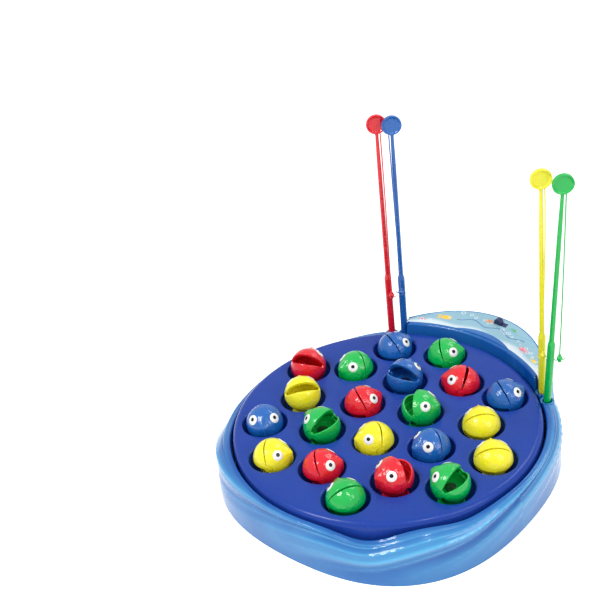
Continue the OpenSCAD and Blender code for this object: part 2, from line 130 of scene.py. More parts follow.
def arc(centre, radius, start, end, steps=8):
    """Points of an arc: centre plus radius times (cos a, sin a), with a in degrees from start to end."""
    a = np.radians(np.linspace(start, end, steps + 1))
    return np.stack([centre[0] + radius * np.cos(a), centre[1] + radius * np.sin(a)], 1)


def rounded(profile, radius, steps=5):
    """Rounds the corners of a line of points, apart from its two ends.

    Each corner becomes a parabola between a point on either side of it. The points are a radius away,
    or just short of the side's middle where the side is short.
    """
    profile = np.asarray(profile, float)
    line = [profile[0]]
    t = np.linspace(0, 1, steps + 1)[:, None]
    for before, corner, after in zip(profile[:-2], profile[1:-1], profile[2:]):
        ends = []
        for other in (before, after):
            side = other - corner
            length = np.linalg.norm(side)
            ends.append(corner + side / length * min(radius, length / 2.1))
        line.extend((1 - t) ** 2 * ends[0] + 2 * t * (1 - t) * corner + t ** 2 * ends[1])
    line.append(profile[-1])
    return np.array(line)


OFF_PATH = (0.13, 1.0, 0.07)


def tube(path, radius, sides=12):
    """A round tube: at each point of the path a circle stands square to the path's direction there.

    The circle's first axis is the cross product of that direction and OFF_PATH, a direction that no
    path in this file takes.
    """
    path = np.asarray(path, float)
    along = np.gradient(path, axis=0)
    along /= np.linalg.norm(along, axis=1)[:, None]
    across = np.cross(along, OFF_PATH)
    across /= np.linalg.norm(across, axis=1)[:, None]
    third = np.cross(along, across)
    a = full_turn(sides)[None, :, None]
    size = np.broadcast_to(np.asarray(radius, float), (len(path),))[:, None, None]
    rings = path[:, None] + size * (across[:, None] * np.cos(a) + third[:, None] * np.sin(a))
    first, last = np.repeat(path[None, :1], sides, 1), np.repeat(path[None, -1:], sides, 1)
    return grid(np.concatenate([first, rings, last]), close_cols=True)


def moved(part, matrix):
    """The same part after a 4 x 4 matrix: points times the turn, plus the shift."""
    points, faces = part
    return points @ matrix[:3, :3].T + matrix[:3, 3], faces


def turn(axis, degrees, shift=(0, 0, 0)):
    """A 4 x 4 matrix that turns about X, Y or Z and then shifts, in millimetres."""
    matrix = np.array(Matrix.Rotation(math.radians(degrees), 4, axis))
    matrix[:3, 3] = shift
    return matrix

# %% [markdown]
# A moulding could be one mesh or several. Here all the parts of one moulding go into one object, as
# the real one leaves the mould in one shot. Points that lie on each other are merged, so that the
# shading runs on across the joins, and only edges sharper than an angle stay sharp.

# %% Put the parts in a mesh
MERGE_WITHIN = 2e-6


def piece(name, parts, body, material, replaces=(), crease=35, outwards=True):
    """One object from parts in millimetres. It rides on a body, and edges sharper than crease stay sharp.

    The faces of each part count their points from 0, so they are shifted by the points before them.
    """
    starts = np.cumsum([0] + [len(points) for points, faces in parts])[:-1]
    corners = np.concatenate([(faces + start).ravel() for (points, faces), start in zip(parts, starts)])
    sizes = np.concatenate([np.full(len(faces), faces.shape[1]) for points, faces in parts])
    mesh = bpy.data.meshes.new(name)
    mesh.vertices.add(int(sum(len(points) for points, faces in parts)))
    mesh.vertices.foreach_set("co", (np.concatenate([points for points, faces in parts]) * MM).ravel())
    mesh.loops.add(len(corners))
    mesh.loops.foreach_set("vertex_index", corners.astype(np.int32))
    mesh.polygons.add(len(sizes))
    mesh.polygons.foreach_set("loop_start", (np.cumsum(sizes) - sizes).astype(np.int32))
    mesh.update(calc_edges=True)
    shape = bmesh.new()
    shape.from_mesh(mesh)
    bmesh.ops.remove_doubles(shape, verts=shape.verts, dist=MERGE_WITHIN)
    if outwards:
        bmesh.ops.recalc_face_normals(shape, faces=shape.faces)
    shape.to_mesh(mesh)
    shape.free()
    mesh.polygons.foreach_set("use_smooth", np.ones(len(mesh.polygons), bool))
    mesh.set_sharp_from_angle(angle=math.radians(crease))
    mesh.materials.append(material)
    made = bpy.data.objects.new(name, mesh)
    bpy.context.scene.collection.objects.link(made)
    if replaces:
        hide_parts(*replaces)
    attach(made, body)
    return made


def points_of(made):
    """A finished piece's points in millimetres, read back because merging changed their number."""
    co = np.empty(len(made.data.vertices) * 3)
    made.data.vertices.foreach_get("co", co)
    return co.reshape(-1, 3) / MM

# %% [markdown]
# ## Moulded plastic
#
# Everything here is injection-moulded and glossy. Real mouldings are never perfectly even: the gloss
# clouds over where hands rub it, the skin is faintly rippled like orange peel, and the colour drifts
# a little. The toy colours also carry fine scales, which are far too many for a mesh. Each material
# could have its own nodes for this. One node group serves them all, with other values in each.

# %% The shared node group
def feed(tree, node, inputs):
    """Feeds a node's inputs, by name or by number, from values or from other nodes' sockets."""
    for key, value in dict(inputs).items():
        if isinstance(value, bpy.types.NodeSocket):
            tree.links.new(value, node.inputs[key])
        else:
            node.inputs[key].default_value = value


def wire(tree, kind, inputs=(), **settings):
    """Adds a node, sets its properties and feeds its inputs."""
    node = tree.nodes.new(kind)
    for key, value in settings.items():
        setattr(node, key, value)
    feed(tree, node, inputs)
    return node


def maths(tree, operation, *values, **settings):
    """The result of a Math node that works on the given values or sockets."""
    return wire(tree, "ShaderNodeMath", enumerate(values), operation=operation, **settings).outputs[0]


def remap(tree, *values):
    """The result of a Map Range node: the value, its lowest and highest, and what these become."""
    return wire(tree, "ShaderNodeMapRange", enumerate(values)).outputs[0]


def noise(tree, point, scale, detail, **more):
    """The grey value of a noise texture at a point."""
    inputs = {"Vector": point, "Scale": scale, "Detail": detail, **more}
    return wire(tree, "ShaderNodeTexNoise", inputs).outputs["Fac"]


CLOUD_SCALE, PEEL_SCALE, RUB_SCALE, FISH_SCALES = 22.0, 650.0, 90.0, 420.0
moulding = bpy.data.node_groups.new("moulded_skin", "ShaderNodeTree")
for label, kind, start in [("Point", "NodeSocketVector", None), ("Colour", "NodeSocketColor", None),
                           ("Drift", "NodeSocketFloat", 0.08), ("Gloss", "NodeSocketFloat", 0.2),
                           ("Rubbed", "NodeSocketFloat", 0.12), ("Scales", "NodeSocketFloat", 0.0)]:
    entry = moulding.interface.new_socket(name=label, in_out="INPUT", socket_type=kind)
    if start is not None:
        entry.default_value = start
for label, kind in [("Colour", "NodeSocketColor"), ("Roughness", "NodeSocketFloat"),
                    ("Height", "NodeSocketFloat")]:
    moulding.interface.new_socket(name=label, in_out="OUTPUT", socket_type=kind)
given = moulding.nodes.new("NodeGroupInput").outputs
leave = moulding.nodes.new("NodeGroupOutput")
cloud = noise(moulding, given["Point"], CLOUD_SCALE, 3.0)
peel = noise(moulding, given["Point"], PEEL_SCALE, 1.0)
rub = noise(moulding, given["Point"], RUB_SCALE, 5.0, Roughness=0.65)
dimple = wire(moulding, "ShaderNodeTexVoronoi", {"Vector": given["Point"], "Scale": FISH_SCALES},
              feature="SMOOTH_F1").outputs["Distance"]
swing = maths(moulding, "MULTIPLY_ADD", maths(moulding, "SUBTRACT", cloud, 0.5), given["Drift"], 1.0)
tinted = wire(moulding, "ShaderNodeVectorMath", {0: given["Colour"], 1: swing}, operation="MULTIPLY")
worn = remap(moulding, rub, 0.45, 0.75, 0.0, given["Rubbed"])
feed(moulding, leave, {"Colour": tinted.outputs[0],
                       "Roughness": maths(moulding, "ADD", given["Gloss"], worn),
                       "Height": maths(moulding, "MULTIPLY_ADD", dimple, given["Scales"], peel)})
print("group", moulding.name, "nodes", len(moulding.nodes))

# %% [markdown]
# The fish, the rods and the tub are glossy polystyrene in plain toy colours. Each colour could be a
# bare shader, but then it would look like wax. The group above gives each one its own cloudiness. The
# turntable has less shine than the rest, because its large flat top mirrors the whole room.

# %% The plastics
BUMP_DISTANCE, COAT_ROUGHNESS = 0.0004, 0.06


def linear(red, green, blue):
    """Screen colour from 0 to 255 to linear light: ((c + 0.055) / 1.055) to the power 2.4."""
    c = np.array([red, green, blue]) / 255
    return tuple(np.where(c <= 0.04045, c / 12.92, ((c + 0.055) / 1.055) ** 2.4)) + (1.0,)


def new_material(name):
    """A new material with its node tree and its shader."""
    material = bpy.data.materials.new(name)
    material.use_nodes = True
    return material, material.node_tree, material.node_tree.nodes["Principled BSDF"]


def plastic(name, colour, gloss=0.16, rubbed=0.12, drift=0.25, ripple=0.02, coat=0.1, shine=0.5,
            scales=0.0, mix=None):
    """A moulded plastic: the shared skin feeds its colour, its roughness and a faint bump."""
    material, tree, shader = new_material(name)
    point = wire(tree, "ShaderNodeTexCoord").outputs["Object"]
    base = mix(tree, point) if mix else linear(*colour)
    skin = wire(tree, "ShaderNodeGroup", {"Point": point, "Colour": base, "Drift": drift, "Gloss": gloss,
                                          "Rubbed": rubbed, "Scales": scales}, node_tree=moulding).outputs
    bump = wire(tree, "ShaderNodeBump", {"Height": skin["Height"], "Strength": ripple,
                                         "Distance": BUMP_DISTANCE})
    feed(tree, shader, {"Base Color": skin["Colour"], "Roughness": skin["Roughness"],
                        "Normal": bump.outputs[0], "Coat Weight": coat, "Coat Roughness": COAT_ROUGHNESS,
                        "Specular IOR Level": shine})
    return material


TOY_COLOURS = {"red": (234, 20, 40), "yellow": (255, 244, 36), "green": (0, 188, 78),
               "blue": (24, 100, 184)}
SHADES = {shade: plastic(f"{shade}_plastic", colour, ripple=0.34, coat=0.12, scales=2.5)
          for shade, colour in TOY_COLOURS.items()}
turntable_blue = plastic("turntable_blue", (30, 66, 160), gloss=0.22, drift=0.18, ripple=0.015, coat=0.0,
                         shine=0.2)
base_blue = plastic("base_blue", (38, 62, 140), gloss=0.38, ripple=0.06, coat=0.0)
eye_white = plastic("eye_white", (248, 248, 246), gloss=0.22, drift=0.04)
eye_black = plastic("eye_black", (8, 8, 10), gloss=0.12, drift=0.05, coat=0.0, shine=0.25)
# The knob's own navy, also used as painted shade for the switch slot.
navy_knob_and_slot_shade = plastic("navy_knob_and_slot_shade", (22, 34, 84), gloss=0.3)
gear_white = plastic("gear_white", (226, 226, 220), gloss=0.35, coat=0.0)
print("materials so far", len(bpy.data.materials))

# %% [markdown]
# ## Fishing lines
#
# A line is 1.1 mm cord tied to the disc at the rod's tip. It hangs beside the rod and carries the
# lure at its end, so its shape is nearly plumb. It could be a bevelled curve. Here a round tube is
# swept along a short list of points, the same as the solid's, so line and solid lie in one place.

# %% Lines
LINE_D = 1.1
ROUTES = {
    "red": [
        [-84.3, 109, 237.3], [-83.5, 108.3, 227], [-82.8, 107.6, 217], [-82.1, 106.9, 208],
        [-81.5, 106.3, 198], [-81, 105.7, 188], [-80.5, 105.2, 178], [-80.1, 104.7, 168],
        [-79.7, 104.2, 158], [-79.4, 103.8, 148], [-79.1, 103.4, 138], [-78.9, 103.1, 129],
        [-78.7, 102.8, 119], [-78.5, 102.6, 109], [-78.3, 102.5, 99], [-78.2, 102.3, 89]],
    "blue": [
        [-75.9, 110.2, 237.3], [-75.3, 109.5, 228], [-74.6, 109, 218], [-74, 108.5, 208],
        [-73.5, 108, 199], [-73, 107.7, 189], [-72.5, 107.3, 180], [-72.1, 107.1, 170],
        [-71.7, 106.8, 160], [-71.4, 106.7, 151], [-71.1, 106.5, 141], [-70.9, 106.4, 131],
        [-70.8, 106.3, 122], [-70.6, 106.3, 112], [-70.6, 106.2, 103], [-70.6, 106.2, 93]],
    "yellow": [
        [83.9, 100.5, 236.8], [84.2, 100.5, 227], [84.4, 100.5, 217], [84.5, 100.4, 207],
        [84.6, 100.4, 197], [84.5, 100.3, 188], [84.4, 100.3, 178], [84.2, 100.4, 168],
        [84, 100.4, 158], [83.7, 100.5, 148], [83.4, 100.7, 138], [83.1, 100.9, 128],
        [82.7, 101.2, 119], [82.4, 101.6, 109], [82, 102.1, 99], [81.7, 102.6, 89]],
    "green": [
        [101.5, 102.2, 236.8], [101.4, 102.1, 227], [101.3, 102, 217], [101.2, 101.9, 208],
        [101, 101.8, 198], [100.8, 101.8, 189], [100.6, 101.9, 179], [100.3, 101.9, 169],
        [100, 102, 160], [99.7, 102.1, 150], [99.3, 102.3, 140], [98.9, 102.5, 131],
        [98.5, 102.7, 121], [98, 102.9, 111], [97.5, 103.2, 102], [97, 103.4, 92]]}
HOOK_TURNS = {"red": -30, "blue": -30, "yellow": 0, "green": 0}
DISC_SIDE = 317.7
NECK, BALL_R, MAGNET_R, MAGNET_UP, MAGNET_DOWN = 2.0, 2.3, 1.6, 0.7, 0.9
HOOK_AT, HOOK_R, HOOK_THICK = 2.9, 1.5, 0.5


def lure_parts(end, hook_turn):
    """A ball on a neck, a magnet under it, and two hooks that are arcs of 200 degrees beside it."""
    middle = -NECK - BALL_R
    low, high = middle - BALL_R - MAGNET_DOWN, middle - BALL_R + MAGNET_UP
    bend = arc((HOOK_AT, middle), HOOK_R, 180, 380, 20)
    hook = tube(np.insert(bend, 1, 0, axis=1), HOOK_THICK * np.linspace(1, 0.45, len(bend)) ** 0.7)
    parts = [lathe(arc((0, middle), BALL_R, -90, 90, 16), 32),
             lathe(rounded([[0, 0], [0.8, -0.1], [1.5, -2.3], [0, -2.4]], 0.3), 24),
             lathe(rounded([[0, low], [MAGNET_R, low], [MAGNET_R, high], [0, high]], 0.3), 24),
             moved(hook, turn("Z", 0)), moved(hook, turn("Z", 180))]
    return [moved(part, turn("Z", DISC_SIDE + 90 + hook_turn, end)) for part in parts]


for shade, route in ROUTES.items():
    lure = piece(f"lure_{shade}_ball", lure_parts(route[-1], HOOK_TURNS[shade]), "base", SHADES[shade],
                 replaces=["lures"])
    line = piece(f"cord_{shade}", [tube(route, LINE_D / 2, 10)], "base", SHADES[shade],
                 replaces=[f"line_{shade}"])

# %% [markdown]
# ## Turntable
#
# The turntable is a thin moulded plate with a rounded edge and 21 wells. A flat plate with round
# holes is best left to a constrained triangulation, because flat triangles never show. The lips,
# the well walls and the rounded edge are lathes that meet the plate where both are level, so no
# seam is seen in the gloss.

# %% Wells and plate
TURN_R, TURN_TOP, TURN_WALL, EDGE_ROUND, SKIRT = 126.5, 47.0, 2.0, 5.0, 27.0
WELL_R, LIP, CUP_WALL = 18.5, 2.0, 1.8
SLEEVE_R, SLEEVE_TOP, SLEEVE_LOW = 11.0, 31.0, 24.0
HUB_R, HUB_BORE_R, HUB_LOW = 9.0, 4.05, 8.3
hinges = [joint for joint in frame["joints"] if joint["name"].startswith("jaw")]
wells = np.array([joint["pos_m"][:2] for joint in hinges]) / MM


def plate(height, outer, hole, steps=160, hole_steps=64):
    """A flat round plate with a hole at each well: triangles whose middle lies in a hole are left out."""
    a, b = full_turn(steps), full_turn(hole_steps)
    circles = [outer * np.stack([np.cos(a), np.sin(a)], 1)]
    circles += [well + hole * np.stack([np.cos(b), np.sin(b)], 1) for well in wells]
    edges = []
    start = 0
    for circle in circles:
        k = np.arange(len(circle))
        edges += list(zip((start + k).tolist(), (start + (k + 1) % len(circle)).tolist()))
        start += len(circle)
    flat = np.concatenate(circles)
    result = delaunay_2d_cdt([tuple(p) for p in flat], edges, [], 0, 1e-4)
    points = np.array([tuple(p) for p in result[0]])
    faces = np.array(result[2])
    middle = points[faces].mean(axis=1)
    solid = (np.linalg.norm(middle[:, None] - wells[None], axis=2) > hole).all(axis=1)
    return np.column_stack([points, np.full(len(points), height)]), faces[solid]


edge_middle = (TURN_R - EDGE_ROUND, TURN_TOP - EDGE_ROUND)
turn_in, cup_out, sleeve_out = TURN_R - TURN_WALL, WELL_R + CUP_WALL, SLEEVE_R + CUP_WALL
edge = np.concatenate([
    arc(edge_middle, EDGE_ROUND, 90, 0, 12),
    rounded([[TURN_R, SKIRT + 1], [TURN_R, SKIRT], [turn_in, SKIRT], [turn_in, SKIRT + 1]], 0.5),
    arc(edge_middle, EDGE_ROUND - TURN_WALL, 0, 90, 8)])
cup = np.concatenate([
    arc((WELL_R + LIP, TURN_TOP - LIP), LIP, 90, 180, 8),
    rounded([[WELL_R, TURN_TOP - LIP - 0.5], [WELL_R, TURN_TOP - 4], [SLEEVE_R, SLEEVE_TOP],
             [SLEEVE_R, SLEEVE_LOW], [sleeve_out, SLEEVE_LOW], [sleeve_out, SLEEVE_TOP - 1],
             [cup_out, TURN_TOP - 5], [cup_out, TURN_TOP - TURN_WALL]], 0.6)])
hub = rounded([[HUB_BORE_R, HUB_LOW], [HUB_R, HUB_LOW], [HUB_R, TURN_TOP - 1.5],
               [HUB_BORE_R, TURN_TOP - 5], [HUB_BORE_R, HUB_LOW]], 0.4)
parts = [plate(TURN_TOP, TURN_R - EDGE_ROUND, WELL_R + LIP),
         plate(TURN_TOP - TURN_WALL, TURN_R - EDGE_ROUND, cup_out), lathe(edge, 160)]
parts += [moved(lathe(cup, 64), turn("Z", 0, (x, y, 0))) for x, y in wells]
parts.append(lathe(hub, 48))
turntable = piece("turntable_shell", parts, "turntable", turntable_blue, replaces=["turntable"])
print("wells", len(wells), "turntable faces", len(turntable.data.polygons))

# %% [markdown]
# ## Tub
#
# The tub is one flowing wall: a rim round the turntable, a broad banner at the back, and folds that
# run round the wall and sink towards the foot like water. Each cross-section is a closed profile
# whose sizes depend on the angle, so the whole tub is one grid that closes both ways.

# %% The tub's sizes at each angle
POCKET_R, TUB_WALL, BASE_H, LIP_WIDTH = 128.5, 2.2, 2.4, 1.8
SKIN_R, DECK_IN = POCKET_R + TUB_WALL, POCKET_R + LIP_WIDTH
RIM_H, RIM_WIDTH, FOOT_R, SWELL, FOLD_DEPTH = 43.5, 3.4, 138.0, 4.5, 2.2
BANNER_H, BANNER_REACH, BANNER_RISE, BANNER_SPREAD, BANNER_FOOT = 54.5, 28.5, 4.0, 2.45, 0.72
FRONT_DIP, RIGHT_DIP, LEFT_DROP = 9, 3.5, 5


def smooth(x):
    """0 below 0, 1 above 1, and x squared times (3 - 2x) between."""
    x = np.clip(x, 0, 1)
    return x * x * (3 - 2 * x)


def apart(a, b):
    """Unsigned difference of two angles in degrees, the short way round."""
    return np.abs((a - b) - 360 * np.round((a - b) / 360))


def cosd(a):
    """Cosine of degrees."""
    return np.cos(np.radians(a))


def sind(a):
    """Sine of degrees."""
    return np.sin(np.radians(a))


def banner(a):
    """1 in the middle of the banner, falling as a cosine to 0 at its ends."""
    return cosd(np.minimum(90, BANNER_SPREAD * apart(a, 90)))


def rim(a):
    """Height of the rim: level, with two dips at the front right and a low left side."""
    return (RIM_H - FRONT_DIP * np.exp(-(apart(a, 304) / 11) ** 2)
            - RIGHT_DIP * np.exp(-(apart(a, 337) / 10) ** 2) - LEFT_DROP * smooth((55 - apart(a, 182)) / 30))


def inner_h(a):
    """Height of the deck's inner edge: the rim, or the banner's height where the banner is."""
    return rim(a) + (BANNER_H - rim(a)) * smooth((banner(a) - 0.02) * 5)


def outer_h(a):
    """Height of the deck's outer edge: the inner edge plus the banner's rise."""
    return inner_h(a) + BANNER_RISE * banner(a) - 0.8 * (1 - banner(a))


def top_r(a):
    """Reach of the deck's outer edge."""
    return POCKET_R + RIM_WIDTH + BANNER_REACH * banner(a)


def foot(a):
    """Reach of the foot: a circle with four swells, and part of the banner's reach."""
    return FOOT_R + SWELL * cosd(4 * (a - 320)) + BANNER_FOOT * BANNER_REACH * banner(a)


def foot_in(a):
    """Inside of the foot, one wall in from it."""
    return np.maximum(SKIN_R + 0.8, foot(a) - TUB_WALL)


def hollow_z(a):
    """Height of the hollow in the wall, which closes where the wall has no room for it."""
    room = foot(a) - TUB_WALL - SKIN_R
    return BASE_H + 1 + (outer_h(a) - 4 - BASE_H) * smooth((room - 1) / 6)


def phase(a, t):
    """Phase of the folds in degrees: it runs on with the angle and down the wall."""
    return 2 * a + 270 * t + 40


def fold(a, t):
    """Depth of the flowing folds: humps of |sin| of the phase, which fade out at the rim and at the foot."""
    return FOLD_DEPTH * sind(180 * t) * (1.6 * np.abs(sind(phase(a, t))) - 1)


def stream(a, t):
    """Fine ridges that follow the folds: two sets of narrow crests, each 1 - |sin| to the third power.

    The second set has more of them, and is lower on the left side.
    """
    broad = (1 - np.abs(sind(1.5 * phase(a, t) + 24 * sind(a + 60)))) ** 3
    narrow = (1 - np.abs(sind(3.4 * phase(a, t) + 70))) ** 3
    side = 0.3 + 0.7 * smooth(cosd(a - 5) + 0.45)
    return sind(180 * np.clip(t, 0, 1)) * (broad + side * narrow)

# %% [markdown]
# The wall could be sculpted, or displaced by a picture. A formula in two coordinates does it with no
# guesswork: the angle round the tub, and t, which runs from 0 at the rim to 1 at the foot. The same
# coordinates place the painted highlight on the crests and the painted shade in the troughs, so relief
# and painted light always agree.

# %% The tub's wall
ROUND_STEPS, WALL_STEPS = 720, 44
DROP_POWER, REACH_POWER, STEP_POWER = 0.6, 0.7, 1.15
LIP_DEPTH, STREAM_DEPTH = 2, 0.9
angle = (np.arange(ROUND_STEPS) * 360 / ROUND_STEPS)[:, None]
one = np.ones_like(angle)
deck_low, deck_high, reach = inner_h(angle), outer_h(angle), top_r(angle)
s = np.linspace(0, 1, 9)[None]
lip_r = POCKET_R + LIP_WIDTH * (1 - cosd(90 * s)) * one
lip_z = deck_low - LIP_DEPTH + LIP_DEPTH * sind(90 * s)
deck = np.linspace(0.1, 1, 10)[None]
deck_r = DECK_IN + (reach - DECK_IN) * deck
deck_z = deck_low + (deck_high - deck_low) * deck
t = np.linspace(0, 1, WALL_STEPS + 1)[None, 1:] ** STEP_POWER
wall_r = reach + (foot(angle) - reach) * sind(90 * t) ** REACH_POWER
wall_r = wall_r + fold(angle, t) + STREAM_DEPTH * stream(angle, t)
wall_z = deck_high * np.maximum(0, cosd(90 * t)) ** DROP_POWER
wall_z[:, -1] = 0
hollow = hollow_z(angle)
waist = np.maximum(SKIN_R + 0.7, (reach + foot(angle)) / 2 - FOLD_DEPTH - TUB_WALL)
inside_r = [foot_in(angle), waist, np.maximum(SKIN_R + 0.6, reach - TUB_WALL), SKIN_R * one, SKIN_R * one,
            POCKET_R * one]
inside_z = [0 * one, hollow * 0.6, hollow, hollow, (BASE_H + 0.2) * one, (BASE_H + 0.2) * one]
ring_r = np.concatenate([lip_r, deck_r, wall_r, *inside_r], 1)
ring_z = np.concatenate([lip_z, deck_z, wall_z, *inside_z], 1)
tub_points = np.stack([ring_r * cosd(angle), ring_r * sind(angle), ring_z], axis=-1)
print("tub profiles", tub_points.shape[0], "points in each", tub_points.shape[1])

# %% [markdown]
# The rod sockets are round collars set into the rim. Quads of the wall that lie inside a collar are
# left out, and a lathed collar with a true bore covers the opening. It is simpler than cutting the
# wall, and the bore stays perfectly round. Each rod's place round the tub and its lean sideways and
# backwards are in degrees.

# %% Sockets in the tub
SOCKET_AT, SOCKET_TOP, SOCKET_DEPTH, SOCKET_R = 134.0, 41.0, 16.0, 3.9
COLLAR_R, COLLAR_LIP, COLLAR_FLOOR = 5.9, 0.4, 2
SUNK_WITHIN, OPEN_WITHIN, ABOVE = 6.1, 4.8, 20
RODS = {"red": (128.5, -0.1, 1), "blue": (123.6, 0.15, 0.1), "yellow": (55.4, -1.4, -3.6),
        "green": (50, 2.1, -3.4)}
sockets = np.array([[SOCKET_AT * cosd(a), SOCKET_AT * sind(a)] for a, side_lean, back_lean in RODS.values()])


def from_socket(points):
    """How far each point is from the nearest socket's axis."""
    return np.linalg.norm(points[..., None, :2] - sockets, axis=-1).min(axis=-1)


tub_z = tub_points[:, :, 2]
sunk = np.where(from_socket(tub_points) < SUNK_WITHIN, np.minimum(tub_z, SOCKET_TOP - 1), tub_z)
tub_points[:, :, 2] = np.where(ring_z > ABOVE, sunk, tub_z)
points, faces = grid(tub_points, True, True)
middle = points[faces].mean(axis=1)
in_bore = (from_socket(middle) < OPEN_WITHIN) & (middle[:, 2] > ABOVE)
bore_low, collar_top = SOCKET_TOP - SOCKET_DEPTH, SOCKET_TOP + COLLAR_LIP
collar_low = bore_low - COLLAR_FLOOR
collar = rounded([[SOCKET_R, bore_low], [SOCKET_R, collar_top], [COLLAR_R, collar_top],
                  [COLLAR_R, collar_low], [0, collar_low], [0, bore_low], [SOCKET_R, bore_low]], 0.5)
DEEP_WATER, PALE_WATER = linear(0, 84, 172), linear(96, 186, 236)


def water(tree, point):
    """Deep and pale water blue, mixed by a point attribute: painted highlight on the fold crests and painted
    shade in the troughs, over a faint haze.
    """
    pale_share = wire(tree, "ShaderNodeAttribute", attribute_name="pale_share").outputs["Fac"]
    haze = remap(tree, noise(tree, point, 14.0, 3.0, Distortion=1.4), 0.35, 0.7, 0.0, 0.15)
    total = maths(tree, "ADD", pale_share, haze, use_clamp=True)
    blend = wire(tree, "ShaderNodeMix", {"Factor": total, 6: DEEP_WATER, 7: PALE_WATER}, data_type="RGBA")
    return blend.outputs[2]


tub_blue = plastic("tub_blue", None, gloss=0.08, drift=0.12, coat=0.12, shine=0.35, mix=water)
tub = piece("tub_shell", [(points, faces[~in_bore])], "base", tub_blue, replaces=["tub"],
            crease=50, outwards=False)
collar_parts = [moved(lathe(collar, 48), turn("Z", 0, (x, y, 0))) for x, y in sockets]
collars = piece("rod_sockets", collar_parts, "base", tub_blue, replaces=["tub"])
print("tub faces", len(tub.data.polygons))

# %% [markdown]
# The colour is painted light: paler where a fold rises, a painted highlight, and deeper blue in the
# troughs, painted shade. Paint could follow a texture in space, but it would cut across the folds. So
# each point's own angle and height give its share of the pale blue, which the material reads as an
# attribute.

# %% Painted light on the folds
# Painted highlight on the fold crests and painted shade in the troughs; the collars get one even share of
# the pale blue.
FOLD_SHARE, STREAM_SHARE, COLLAR_PALE_SHARE = 0.45, 0.55, 0.25


def crest_light_at(x, y, z):
    """Painted highlight streaks, strongest on the fold's crests, and painted shade in the troughs, worked
    back from a point's angle and height.
    """
    a = np.degrees(np.arctan2(y, x)) % 360
    t = np.degrees(np.arccos(np.clip((z / outer_h(a)) ** (1 / DROP_POWER), 0, 1))) / 90
    outer = smooth((np.hypot(x, y) - SKIN_R) / 3)
    crest = 0.5 + fold(a, t) / FOLD_DEPTH * 0.75
    return np.clip(outer * (FOLD_SHARE * crest + STREAM_SHARE * stream(a, t)), 0, 1)


tub_crest_light = crest_light_at(*points_of(tub).T)
pale_share = tub.data.attributes.new("pale_share", "FLOAT", "POINT")
pale_share.data.foreach_set("value", tub_crest_light.astype(np.float32))
pale_share = collars.data.attributes.new("pale_share", "FLOAT", "POINT")
pale_share.data.foreach_set("value", np.full(len(collars.data.vertices), COLLAR_PALE_SHARE, np.float32))
print("foam on the tub, mean", round(float(tub_crest_light.mean()), 3))

# %% [markdown]
# ## Printed banner
#
# The deck at the back carries a printed sticker. Its pattern is made here from plain shapes: water
# that pales towards the rim, bubbles, a few simple fish and waves. A fine grid lies 0.15 mm over the
# deck and each point gets its colour from formulas in two coordinates, along and across the banner.

# %% The banner's pattern
RIM_WATER, OPEN_WATER = (222, 236, 244), (146, 190, 208)
PALE_WAVE, BLUE_WAVE = (96, 178, 216), (46, 104, 170)
GOLD, ROSE, CORAL, LEAF = (250, 204, 70), (236, 120, 138), (240, 150, 90), (80, 176, 120)
SWIMMERS = [((-44, 11), 5.2, 1, GOLD), ((40, 8), 4.2, -1, ROSE), ((-8, 19.5), 3.4, -1, CORAL),
            ((18, 20.5), 3.0, 1, LEAF), ((60, 6), 3.2, 1, GOLD), ((-66, 5.5), 2.6, -1, ROSE)]
BUBBLES = 26


def spot(u, v, at, size, soft=0.35):
    """1 inside an ellipse and 0 outside, with a soft edge, in millimetres along and across."""
    d = np.hypot((u - at[0]) / size[0], (v - at[1]) / size[1])
    return np.clip((1 - d) * min(size) / soft, 0, 1)


def small_fish(u, v, at, length, turned):
    """An ellipse with a tail of two smaller ones; turned is +1 or -1 for the way it swims."""
    body = spot(u, v, at, (length, length * 0.55))
    tail_u, tail_size = at[0] - turned * length * 1.25, (length * 0.42, length * 0.24)
    tail = [spot(u, v, (tail_u, at[1] + k * length * 0.3), tail_size) for k in (-1, 1)]
    return np.maximum(body, np.maximum(*tail))


def bubble(u, v, at, radius):
    """A ring: a disc less a smaller disc."""
    return spot(u, v, at, (radius, radius)) - spot(u, v, at, (radius * 0.72, radius * 0.72))


def banner_colour(u, v):
    """Pale water, crossed by waves and bubbles, with simple fish; v runs from 0 at the rim to about 25.

    Each layer is a colour and how much of each point it covers. Steps by a fraction scatter the bubbles.
    """
    sea = smooth((v - 1.5 + 1.5 * np.sin(u / 7)) / 6)[..., None]
    colour = np.array(linear(*RIM_WATER)[:3]) * (1 - sea) + np.array(linear(*OPEN_WATER)[:3]) * sea
    wave = (np.abs(v - 13 - 2.2 * np.sin(u / 4.2)) < 0.55) & (np.abs(u) < 34)
    layers = [(PALE_WAVE, 0.5 * (np.abs(v - 19 - 1.6 * np.sin(u / 6 + 1)) < 0.5)), (BLUE_WAVE, 0.8 * wave)]
    for at, length, turned, shade in SWIMMERS:
        layers.append((shade, small_fish(u, v, at, length, turned)))
        eye = (at[0] + turned * length * 0.5, at[1] + length * 0.12)
        layers.append(((255, 255, 255), spot(u, v, eye, (length * 0.2, length * 0.2), 0.2)))
        layers.append(((20, 30, 60), spot(u, v, eye, (length * 0.1, length * 0.1), 0.2)))
    for k in range(BUBBLES):
        at = (-70 + 140 * ((k * 0.618) % 1), 3 + 21 * ((k * 0.377 + 0.2) % 1))
        layers.append(((255, 255, 255), 0.8 * bubble(u, v, at, 0.9 + 1.3 * ((k * 0.53) % 1))))
    for shade, cover in layers:
        cover = np.asarray(cover, float)[..., None]
        colour = colour * (1 - cover) + np.array(linear(*shade)[:3]) * cover
    return colour
